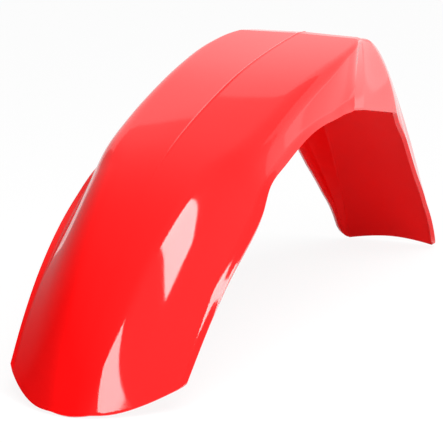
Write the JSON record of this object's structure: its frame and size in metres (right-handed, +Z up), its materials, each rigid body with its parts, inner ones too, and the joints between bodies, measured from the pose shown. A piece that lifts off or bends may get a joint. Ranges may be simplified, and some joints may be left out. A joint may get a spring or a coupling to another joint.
{
  "type": "motorcycle front mudguard",
  "caption": "One-piece moulded plastic front mudguard for an off-road motorcycle, with side wings, a fork waist, a rear flap and a square bolt pattern.",
  "frame": {"origin": "middle of the length and width, on the surface that the mudguard stands on", "axes": "+X to the rider's left or right (the part is symmetric), +Y from the front tip to the rear flap, +Z up as it stands on its tip and flap"},
  "size_m": [0.1842, 0.7592, 0.2503],
  "materials": {
    "shell": "high gloss moulded red"
  },
  "bodies": {
    "root": {"mudguard": "shell"}
  },
  "joints": []
}
